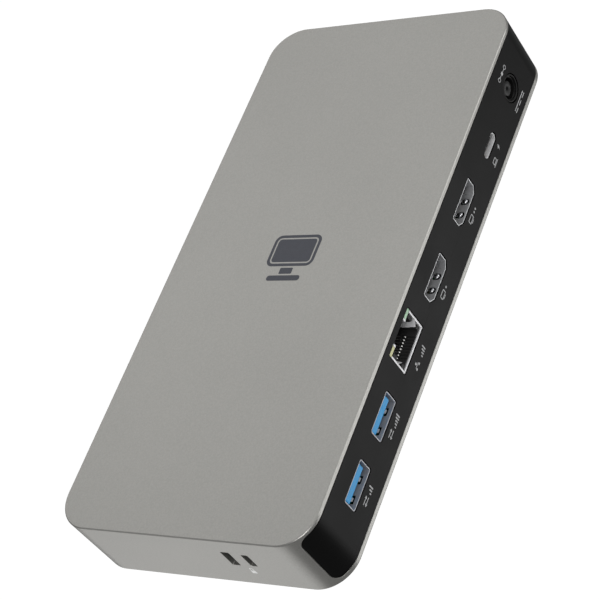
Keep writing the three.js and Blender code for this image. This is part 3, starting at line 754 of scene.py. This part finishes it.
def hdmi(label, side):
    """A video port: wide-topped sleeve, round pressed springs, and a tongue with contacts."""
    port = Port(label + "_shell", side)
    wall = port.height / 2 - SHEET / 2
    places = (-2.45, 2.45)
    sprung_sleeve(port, label, HDMI, DRAWN, wall, places, (2.3, -0.45, -3.4), 1.0)

    springs = bmesh.new()
    for u in places:
        for way in (-1, 1):
            bend = [(0, -3.6), (0, -3.2), (0.12, -2.8), (0.2, -2.4), (0.2, -1.2)]
            path = [(way * (wall - inward), w) for inward, w in bend]
            leaf(springs, path, 1.4, 0.16, lambda a, b, c, u=u: (a + u, b, c))
            dome(springs, (u, way * (wall - 0.24), -1.75), 0.88, -way * 0.6)
    piece(springs, label + "_springs", PLATED, (), port.row)

    tongue = ((-5.6, 5.6), (0.1, 1.1), (port.back + 1.4, -3.4), 0.2, 0.15)
    base = ((-6.2, 6.2), (-0.3, 1.9), (port.back, port.back + 2))
    insert(port, label, tongue, base, MOULDED_BLACK)
    places = [i - 4.5 for i in range(10)]
    contact_row(port, label, places, 0.2, [(0.03, 0.14)], (port.back + 2.4, -4.0), 0.02)


def rj45():
    """The network port: shield with side springs, moulded insert, eight contact wires, two lights."""
    port = Port("rj45_shield", "rear")
    port.z += RJ45_SKIRT / 2
    half_u, half_v = RJ45_WIDTH / 2, RJ45_HEIGHT / 2
    wall, light, post, light_height = 0.62, 4.0, 0.7, 1.35
    under_lights = half_v - light_height

    mesh = single(tube, RJ45, port.depth, wall)
    notch = single(block, (-half_u - 1, half_u + 1), (under_lights, half_v + 2), (-4, 1), 0.02, 0.02)
    mesh = carved(mesh, [notch], "shield")
    # The shield's steel is painted lighter, as if lit inside the port.
    piece(mesh, "rj45_shield_body", SLEEVE_STEEL_PAINTED_LIGHT, ["rj45_shield"], port.row)

    trim = bmesh.new()
    for way in (-1, 1):
        inner = sorted((way * (half_u - light), way * (half_u - light + post)))
        block(trim, inner, (under_lights, half_v), (-3.6, 0), 0.05, 0.1)
        bend = [(1.1, -0.1), (1.3, -0.5), (1.5, -1.4), (1.8, -2.8), (2.0, -4.2), (1.8, -5.2)]
        path = [(way * (half_u - inward), w) for inward, w in bend]
        leaf(trim, path, 1.7, 0.2, lambda a, b, c, way=way: (b + 0.95 * way * a, a - 0.95, c), 0.35)
    # The springs' steel is painted lighter, as if lit inside the port.
    piece(trim, "rj45_springs", SLEEVE_STEEL_PAINTED_LIGHT, (), port.row)

    floor, roof = -half_v + wall + 0.15, half_v - wall - 0.15
    pitch = 1.02
    lanes = [(i - 3.5) * pitch for i in range(8)]
    rj45_moulding(port, half_u - wall - 0.15, floor, roof, lanes)

    wires = bmesh.new()
    for u in lanes:
        path = [(floor - 0.05, -3.25), (floor + 0.45, -3.4), (floor + 0.6, -3.55), (floor + 0.45, -3.7),
                (floor + 0.4, -3.95), (floor + 1.1, -7.5), (floor + 4.0, -11)]
        leaf(wires, path, 0.3, 0.26, lambda a, b, c, u=u: (a + u, b, c))
    piece(wires, "rj45_wires", WIRE, ["rj45_contacts"], port.row)

    for color, material, way in (("green", GREEN_LIGHT, 1), ("yellow", YELLOW_LIGHT, -1)):
        span = sorted((way * (half_u - light + post + 0.05), way * half_u))
        mesh = single(block, span, (half_v - 1.25, half_v), (-3.5, 0), 0.1, 0.12)
        piece(mesh, "rj45_window_" + color, material, ["rj45_light_" + color], port.row)


def rj45_moulding(port, reach, floor, roof, lanes):
    """The black insert of the network port, with its cavity, latch notch, side pockets and grooves."""
    outline = rectangle(2 * reach, roof - floor, 0.1, (0, (floor + roof) / 2), 2)
    mesh = single(loft, rings_of(outline, eased(0.1, -port.depth + 1.2, -1, -0.25, 2)))
    past = reach + 2
    above = roof + 2
    plug = ((-5.9, 5.9), (floor + 0.5, roof - 0.9), (-13, 2), 0.15)
    latch = ((-3.2, 3.2), (roof - 2.6, above), (-9, 2), 0.15)
    lights = ((-past, past), (roof - 1.1, above), (-4.4, 2), 0.02)
    pockets = [(side, (-2.4, 0.8), (-8, 2), 0.1) for side in ((-past, -5.6), (5.6, past))]
    spaces = [plug, latch, lights, *pockets]
    spaces += [((u - 0.3, u + 0.3), (floor + 0.2, floor + 2.2), (-13.4, 2), 0.02) for u in lanes]
    cutters = []
    for u, v, w, radius in spaces:
        cutters.append(single(block, u, v, w, radius, 0.02))
    # The moulding's finish is painted lighter than its black plastic, for the light inside its cavity.
    piece(carved(mesh, cutters, "insert"), "rj45_moulding", SOCKET_BLACK_PAINTED_LIGHT,
          ["rj45_insert"], port.row)


def stepped(radius, stations):
    """Stations of a turned profile, each given by how far it lies inside a radius."""
    return [(radius - inset, w) for inset, w in stations]


def jack_body(port, nose_radius, bore, name):
    """A moulded jack: a block behind the panel, a round nose through it, and a stepped bore."""
    behind = -PANEL_THICKNESS - 0.1
    u, v = port.width / 2, port.height / 2
    mesh = single(block, (-u, u), (-v, v), (-port.depth, behind), 0.3)
    edge = stepped(nose_radius, [(0, behind - 1), (0, -0.12), (0.12, 0.0)])
    mesh = carved(mesh, [single(lathe, [*edge, (0.5, 0.0)], 64)], name, "UNION")
    return carved(mesh, [single(lathe, bore, 64)], name)


def dc_jack():
    """The power inlet: moulded body with a round nose and a centre post with a pin hole."""
    port = Port("dc_jack_body", "rear")
    low = box_mm("dc_jack_center_post")[0]
    bore = [(3.3, -port.depth + 2), (3.3, -0.7), (3.4, -0.6), (3.65, -0.55), (3.72, -0.45), (3.72, -0.1),
            (3.84, 0.01), (4.2, 1)]
    mesh = jack_body(port, JACK_NOSE, bore, "jack")
    # The jack's moulding is painted lighter than the panel, for the light its nose ring catches.
    piece(mesh, "dc_jack_moulding", JACK_BLACK_PAINTED_LIGHT, ["dc_jack_body"], port.row)

    back = low.y - port.front
    outside = [(2.35, back), (2.35, -1.3), (2.28, -1.1), (2.1, -1.0)]
    pin_hole = [(0.8, -1.0), (0.62, -1.1), (0.56, -1.3), (0.56, -8)]
    mesh = single(lathe, outside + pin_hole, 48)
    piece(mesh, "dc_jack_post", JACK_GREY, ["dc_jack_center_post"], port.row)


def audio_jack():
    """The audio socket: a moulded jack with a smaller, plain bore."""
    port = Port("front_audio_jack", "front")
    bore = [(1.75, -port.depth + 1), (1.75, -0.4), (1.95, 0.01), (2.4, 1)]
    mesh = jack_body(port, AUDIO_NOSE, bore, "audio")
    # The jack's moulding is painted lighter than the panel, for the light its nose ring catches.
    piece(mesh, "audio_jack_moulding", JACK_BLACK_PAINTED_LIGHT, ["front_audio_jack"], port.row)


def card_socket():
    """The card reader: a stamped frame with a slot."""
    port = Port("front_card_socket", "front")
    u, v = port.width / 2, port.height / 2
    mesh = single(block, (-u, u), (-v, v), (-port.depth, 0), 0.15)
    u, v = CARD_MOUTH[0] / 2, CARD_MOUTH[1] / 2
    slot = single(block, (-u, u), (-v, v), (-port.depth + 1, 1), 0.1)
    mesh = carved(mesh, [slot], "card")
    piece(mesh, "card_socket_frame", STAMPED, ["front_card_socket"], port.row)


def power_button():
    """The button: a dished cap with its flange and stem, and the status light beside it."""
    port = Port("power_button", "front")
    low, high = box_mm("power_button")
    back = -(high.y - low.y)
    flange = port.width / 2
    flange_front = -PANEL_THICKNESS - 0.3
    stem = [(1.5, back), (1.5, flange_front - 1), (flange, flange_front - 1), (flange, flange_front)]
    edge = stepped(BUTTON_RADIUS, [(0, flange_front), (0, -0.2), (0.06, -0.06), (0.2, 0.0), (0.5, -0.03)])
    mesh = single(lathe, [*stem, *edge, (2.4, -0.12), (1.0, -0.16)], 64)
    piece(mesh, "power_button_cap", PANEL_BLACK, ["power_button"], port.row, "power_button")

    light = Port("status_light_pipe", "front")
    light.z = port.z
    low, high = box_mm("status_light_pipe")
    end = low.y - high.y
    mesh = single(lathe, stepped(LIGHT_RADIUS, [(0, end), (0, -0.15), (0.1, -0.04), (0.35, 0.0)]), 32)
    leg = single(block, (-0.8, 0.8), (low.z - light.z, 0), (end, end + 1.8), 0.1)
    mesh = carved(mesh, [leg], "light", "UNION")
    piece(mesh, "status_light", CLEAR, ["status_light_pipe"], light.row)


# ---- Underside ----

COVER_THICKNESS = 1.6
VENT_WIDTH = 1.6
VENT_LENGTH = 16
VENT_PITCH = 4
VENT_COUNT = 8
VENT_GROUP = 28
COVER_GAP = 0.3
WELL_SEAT = -1.05
SHANK_RADIUS = 1.1
HEAD_HEIGHT = 0.85


def four(kind):
    """The number, lowest and highest corner and place in plan of each of four equal nodes."""
    for number in range(1, 5):
        low, high = box_mm(f"{kind}_{number}")
        yield number, low, high, (low.x + high.x) / 2, (low.y + high.y) / 2


def from_below(x, y, z):
    """A frame that looks up at the underside: u along X, v along -Y, w down."""
    return lambda p: (x + p[0], y - p[1], z - p[2])


def bottom_cover():
    """The plastic cover with vents, screw wells and foot wells."""
    low, high = box_mm("bottom_cover")
    outer = rectangle(high.x - low.x, high.y - low.y, CORNER - (WALL + COVER_GAP), steps=12)
    holes = []
    for group in (-1, 1):
        for i in range(VENT_COUNT):
            place = (group * VENT_GROUP + (i - (VENT_COUNT - 1) / 2) * VENT_PITCH, 0)
            vent = rectangle(VENT_WIDTH, VENT_LENGTH, 0.75, place, 4)
            holes.append(rings_of(vent, eased(0.2, -COVER_THICKNESS, 1, count=3)))
    well = [(1.4, 0.0), (1.2, -0.2), (1.2, WELL_SEAT), (0.0, WELL_SEAT), (0.0, -COVER_THICKNESS)]
    for *_, x, y in four("case_screw"):
        holes.append(rings_of(round_hole(1.4, (x, -y), 32), well))
    pocket = [(0.15, 0.0), (0.0, -0.15), (0.0, -0.6)]
    pockets = [rings_of(round_hole(5.7, (x, -y), 48), pocket) for *_, x, y in four("foot")]
    mesh = single(plate, rings_of(outer, eased(0.25, -COVER_THICKNESS)), holes, pockets)
    piece(mesh, "base_cover", COVER_GREY, ["bottom_cover"], from_below(0, 0, low.z))


def feet():
    """Four rubber discs with a rounded edge and a shallow ring groove."""
    edge = [(0, -0.45), (0.08, -0.2), (0.25, -0.06), (0.5, 0.0)]
    groove = [(1.3, 0.0), (1.45, -0.12), (1.9, -0.12), (2.05, 0.0)]
    for number, low, high, x, y in four("foot"):
        radius = (high.x - low.x) / 2
        mesh = single(lathe, stepped(radius, [(0, low.z - high.z), *edge, *groove]), 64)
        piece(mesh, f"rubber_foot_{number}", RUBBER, [f"foot_{number}"],
              from_below(x, y, low.z))


def case_screws():
    """Four pan-head screws with a cross recess."""
    arm, reach = 0.32, 1.15
    cross = [(-arm, -reach), (arm, -reach), (arm, -arm), (reach, -arm), (reach, arm), (arm, arm),
             (arm, reach), (-arm, reach), (-arm, arm), (-reach, arm), (-reach, -arm), (-arm, -arm)]
    recess = rings_of(polygon(cross, 0.05, 2), [(0.06, 0.0), (0.0, -0.06), (-0.08, -0.5)])
    top = [(-0.5, 0.0), (-0.2, -0.06), (-0.05, -0.2), (0.0, -0.4), (0.0, -HEAD_HEIGHT)]
    for number, low, high, x, y in four("case_screw"):
        head = (high.x - low.x) / 2
        step = SHANK_RADIUS - head
        shank = [(step, -HEAD_HEIGHT), (step, low.z - high.z)]
        mesh = single(plate, rings_of(round_hole(head), top + shank), (), [recess])
        piece(mesh, f"screw_{number}", STEEL, [f"case_screw_{number}"],
              from_below(x, y, low.z))


# ---- Printed marks: plain symbols only ----

def bar_mark(u, v, width, height, radius=0.06):
    return rectangle(width, height, radius, (u, v), 3)


def ring_mark(u, v, radius, line=0.28):
    return round_hole(radius, (u, v), 32), round_hole(radius - line, (u, v), 32)


def frame_mark(u, v, width, height, line=0.28):
    return (rectangle(width, height, 0.3, (u, v), 4),
            rectangle(width - 2 * line, height - 2 * line, 0.12, (u, v), 4))


def speed_mark(u, v, bars):
    """Bars of rising height, one more for each step of speed."""
    marks = []
    for i in range(bars):
        height = 0.7 + 1.3 * i / max(bars - 1, 1)
        marks.append(bar_mark(u + (i - (bars - 1) / 2) * 0.85, v - 1.0 + height / 2, 0.45, height))
    return marks


def screen_mark(u, v, dots):
    """A display on its stand, and a dot for each number."""
    marks = [frame_mark(u, v + 0.2, 2.9, 1.7), bar_mark(u, v - 0.95, 1.5, 0.26)]
    for i in range(dots):
        marks.append(round_hole(0.36, (u + 2.7 + 1.2 * i, v + 0.1), 20))
    return marks


def laptop_mark(u, v):
    return [frame_mark(u, v + 0.25, 2.3, 1.5), bar_mark(u, v - 0.8, 3.1, 0.3)]


def bolt_mark(u, v):
    corners = [(-0.35, -1.2), (0.75, 0.3), (0.1, 0.3), (0.45, 1.2), (-0.7, -0.15), (-0.05, -0.15)]
    return polygon([(u + a, v + b) for a, b in corners], 0.03, 2)


def tree_mark(u, v):
    """Three linked boxes, as bars given by their place and size."""
    bars = [(0, 0.75, 0.75, 0.6), (-0.95, -0.7, 0.75, 0.6), (0.95, -0.7, 0.75, 0.6), (0, 0.22, 0.22, 0.5),
            (0, -0.05, 2.1, 0.2), (-0.95, -0.28, 0.22, 0.4), (0.95, -0.28, 0.22, 0.4)]
    return [bar_mark(u + du, v + dv, width, height) for du, dv, width, height in bars]


def both_ways_mark(u, v):
    """Two arrows that point opposite ways."""
    marks = []
    for way in (-1, 1):
        tip, stem = way * 1.5, way * 0.55
        corners = [(u + tip, v + stem), (u + tip - way * 0.9, v + stem + way * 0.55),
                   (u + tip - way * 0.9, v + stem - way * 0.55)]
        marks.append(polygon(corners, 0.05, 2))
        marks.append(bar_mark(u - way * 0.4, v + stem, 2.1, 0.3))
    return marks


def polarity_mark(u, v):
    """A centre dot between two rings, joined by lines."""
    sides = (-1, 1)
    rings = [ring_mark(u + 2.5 * way, v, 0.75, 0.24) for way in sides]
    bars = [bar_mark(u + 1.2 * way, v, 1.1, 0.24) for way in sides]
    return [round_hole(0.62, (u, v), 24), *rings, *bars]


def direct_current_mark(u, v):
    """A long bar over three short ones."""
    marks = [bar_mark(u, v + 0.5, 8.0, 0.36)]
    return marks + [bar_mark(u + 3.0 * i, v - 0.4, 2.0, 0.36) for i in (-1, 0, 1)]


def arc(u, v, radius, first, sweep, steps):
    """Points along part of a circle, anticlockwise from the first angle."""
    angles = [first + sweep * k / steps for k in range(steps + 1)]
    return [(u + radius * math.cos(a), v + radius * math.sin(a)) for a in angles]


def power_mark(u, v):
    """An open ring with a bar in its gap."""
    outer, inner, gap = 1.25, 0.98, math.radians(32)
    span = math.pi / 2 + gap, 2 * math.pi - 2 * gap, 36
    band = arc(u, v, outer, *span) + arc(u, v, inner, *span)[::-1]
    return [lambda grow=0.0: band, bar_mark(u, v + 0.95, 0.27, 1.25)]


def headphone_mark(u, v):
    """A headband with a cup at each end."""
    outer, inner, span = 1.1, 0.85, (0, math.pi, 20)
    band = arc(u, v, outer, *span) + arc(u, v, inner, *span)[::-1]
    cups = [bar_mark(u + 0.95 * way, v - 0.45, 0.5, 0.95, 0.15) for way in (-1, 1)]
    return [lambda grow=0.0: band, *cups]


def card_mark(u, v):
    corners = [(-1.1, -0.85), (1.1, -0.85), (1.1, 0.85), (-0.55, 0.85), (-1.1, 0.35)]
    inner = [(a * 0.72, b * 0.66) for a, b in corners]
    return [(polygon([(u + a, v + b) for a, b in corners]), polygon([(u + a, v + b) for a, b in inner]))]


def padlock_mark(u, v):
    """A closed body with a shackle over it."""
    outer, inner, rise, leg = 0.62, 0.36, 0.75, -0.1
    span = 0, math.pi, 16
    band = arc(u, v + rise, outer, *span) + [(u - outer, v + leg), (u - inner, v + leg)]
    band += arc(u, v + rise, inner, *span)[::-1] + [(u + inner, v + leg), (u + outer, v + leg)]
    return [lambda grow=0.0: band, bar_mark(u, v - 0.85, 1.7, 1.5, 0.2)]


def dock_mark():
    """A computer on its stand: a framed screen over a foot."""
    screen = (rectangle(17.0, 11.4, 2.4, (0, 2.6), 8), rectangle(15.0, 9.4, 1.5, (0, 2.6), 8))
    return [screen, rectangle(14.0, 8.4, 1.1, (0, 2.6), 8), rectangle(4.6, 2.2, 0.3, (0, -4.8), 4),
            rectangle(12.0, 1.9, 0.9, (0, -7.4), 8)]


def on_side(side):
    """The frame of a long side's face: u to the right seen from outside, v up from the floor."""
    turn = 1 if side == "rear" else -1
    return lambda p: (-turn * p[0], turn * (WIDTH / 2 + p[2]), p[1])


# Heights over the housing's lower edge, the lock mark's distance from the middle of its end, and
# how far the button's mark lies below its rim.
PORT_MARK_HEIGHT = 7.1
LOCK_MARK_HEIGHT = 8.3
LOCK_MARK_ALONG = 17.6
BUTTON_DISH = 0.12

REAR_MARKS = {
    "mark_power_in": ("dc_jack_body",
                      lambda u, v: polarity_mark(u, v + 11.1) + direct_current_mark(u, v - 1.9)),
    "mark_host": ("usb_c_host_shell",
                  lambda u, v: laptop_mark(u - 2.2, v - 0.9) + [bolt_mark(u + 2.7, v + 0.1)]),
    "mark_video_2": ("hdmi_2_shell", lambda u, v: screen_mark(u - 1.7, v, 2)),
    "mark_video_1": ("hdmi_1_shell", lambda u, v: screen_mark(u - 1.7, v, 1)),
    "mark_network": ("rj45_shield", lambda u, v: tree_mark(u - 2.6, v) + speed_mark(u + 2.2, v, 4)),
    "mark_fast_data": ("usb_a_10g_shell",
                       lambda u, v: both_ways_mark(u - 2.1, v) + speed_mark(u + 2.2, v, 5)),
    "mark_data": ("usb_a_5g_shell",
                  lambda u, v: both_ways_mark(u - 1.6, v) + speed_mark(u + 1.9, v, 3)),
}
FRONT_MARKS = {
    "mark_audio": ("front_audio_jack", headphone_mark),
    "mark_front_data": ("front_usb_a_shell", lambda u, v: speed_mark(u, v, 5)),
    "mark_front_charge": ("front_usb_c_shell",
                          lambda u, v: speed_mark(u - 1.6, v, 4) + [bolt_mark(u + 2.2, v)]),
    "mark_card": ("front_card_socket", card_mark),
}


def printed_marks():
    """The symbols by the ports, and those on the button, the lock side and the top."""
    for side, turn, marks in (("rear", -1, REAR_MARKS), ("front", 1, FRONT_MARKS)):
        for name, (node, draw) in marks.items():
            shapes = draw(turn * Port(node, side).x, BASE + PORT_MARK_HEIGHT)
            print_on(name, shapes, INK_PALE, on_side(side))

    button = Port("power_button", "front")
    print_on("mark_power_button", power_mark(0, 0), INK_PALE,
             lambda p: button.row((p[0], p[1], p[2] - BUTTON_DISH)), "power_button")

    print_on("mark_lock", padlock_mark(LOCK_MARK_ALONG, BASE + LOCK_MARK_HEIGHT), INK_BRIGHT,
             lambda p: (LENGTH / 2 + p[2], p[0], p[1]))
    print_on("mark_top", dock_mark(), INK_SLATE, lambda p: (-p[1], p[0], TOP + p[2]))


# ---- Camera, floor and lights: lengths in metres, directions as azimuth and elevation in degrees ----

CAMERA_TARGET = (0.01228, -0.00607, 0.013)
CAMERA_DIRECTION = (52.62, 40.97)
CAMERA_DISTANCE = 0.55005
CAMERA_ROLL = math.radians(-40.55)
LIGHT_TARGET = (0, 0, 0.013)
FILL = 0.25

# Each soft box: azimuth, elevation, distance, size and power in watts.
SOFT_BOXES = {
    "rear_softbox": (126, 33, 1.1, (0.8, 0.6), 3.0),
    "back_softbox": (230, 42, 1.2, (1.0, 0.8), 2.0),
    "key_softbox": (45, 48, 1.2, (0.5, 0.5), 4.0),
    "side_softbox": (-42, 27, 1.1, (0.6, 0.6), 0.22),
    "table_left": (117, -40, 1.0, (0.6, 0.5), 1.62),
    "table_right": (-42, -40, 1.0, (0.8, 0.5), 0.94),
    "table_back": (225, -28, 1.0, (0.8, 0.4), 0.08),
}


def aim(thing, place, target, roll=0.0):
    """Puts a camera or light at a place and turns it to a target."""
    thing.location = place
    way = Vector(target) - Vector(place)
    turn = way.to_track_quat("-Z", "Y").to_matrix().to_4x4()
    spin = turn @ Matrix.Rotation(roll, 4, "Z")
    thing.rotation_euler = spin.to_euler()


def direction(azimuth, elevation, distance):
    """A step of that length, with the azimuth in degrees counted from +X towards +Y."""
    turn, lift = math.radians(azimuth), math.radians(elevation)
    level = distance * math.cos(lift)
    return Vector((level * math.cos(turn), level * math.sin(turn), distance * math.sin(lift)))


def camera():
    """A long lens, placed and rolled as the photograph was taken."""
    data = bpy.data.cameras.new("camera")
    data.lens = 111.1
    data.shift_x = 0.033
    data.shift_y = 0.025
    made = linked("camera", data)
    target = Vector(CAMERA_TARGET)
    aim(made, target + direction(*CAMERA_DIRECTION, 1) * CAMERA_DISTANCE, target, CAMERA_ROLL)
    data.clip_start = 0.01
    data.clip_end = 20
    bpy.context.scene.camera = made


def soft_light(name, place, target, size, power):
    data = bpy.data.lights.new(name, "AREA")
    data.shape = "RECTANGLE"
    data.size = size[0]
    data.size_y = size[1]
    data.energy = power
    made = linked(name, data)
    made.visible_camera = False
    aim(made, place, target)


def sweep():
    """A white floor that curves up into a backdrop all the way round. It is only seen: light from
    the boxes below passes through it, as through the sheet of a light table."""
    mesh = bmesh.new()
    flat, bend, top, steps, rows, clear = 1.6, 0.8, 2.4, 96, 12, 0.00002
    stations = [(flat, -clear)]
    for k in range(1, rows + 1):
        angle = math.pi / 2 * k / rows
        stations.append((flat + bend * math.sin(angle), bend * (1 - math.cos(angle)) - clear))
    stations.append((flat + bend, top))
    rings = [[(u, v, rise) for u, v in round_hole(reach, steps=steps)()] for reach, rise in stations]
    made = add_rings(mesh, rings)
    cap(mesh, [made[0]])
    seamless = linked_mesh("sweep", mesh)
    seamless.data.shade_smooth()
    seamless.data.materials.append(SWEEP_WHITE)
    seamless.visible_diffuse = False
    seamless.visible_glossy = False
    seamless.visible_shadow = False


def studio():
    """The sweep, a weak even fill, and soft boxes above and below."""
    sweep()
    world = bpy.data.worlds.new("studio")
    bpy.context.scene.world = world
    world.use_nodes = True
    fill(world.node_tree.nodes["Background"], {"Color": (1, 1, 1, 1), "Strength": FILL})
    bpy.context.scene.view_settings.view_transform = "Standard"
    target = Vector(LIGHT_TARGET)
    for name, (azimuth, elevation, distance, size, power) in SOFT_BOXES.items():
        soft_light(name, target + direction(azimuth, elevation, distance), target, size, power)


# ---- Assembly ----

camera()
studio()
housing()
panels()

dc_jack()
usb_c("usb_c_host", "rear")
hdmi("hdmi_2", "rear")
hdmi("hdmi_1", "rear")
rj45()
usb_a("usb_a_10g", "rear")
usb_a("usb_a_5g", "rear")

power_button()
card_socket()
audio_jack()
usb_a("front_usb_a", "front")
usb_c("front_usb_c", "front")

bottom_cover()
feet()
case_screws()
printed_marks()

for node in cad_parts.values():
    if not node.hide_render:
        node.data.materials[0] = SLOT_FINISH[node.data.materials[0].name]
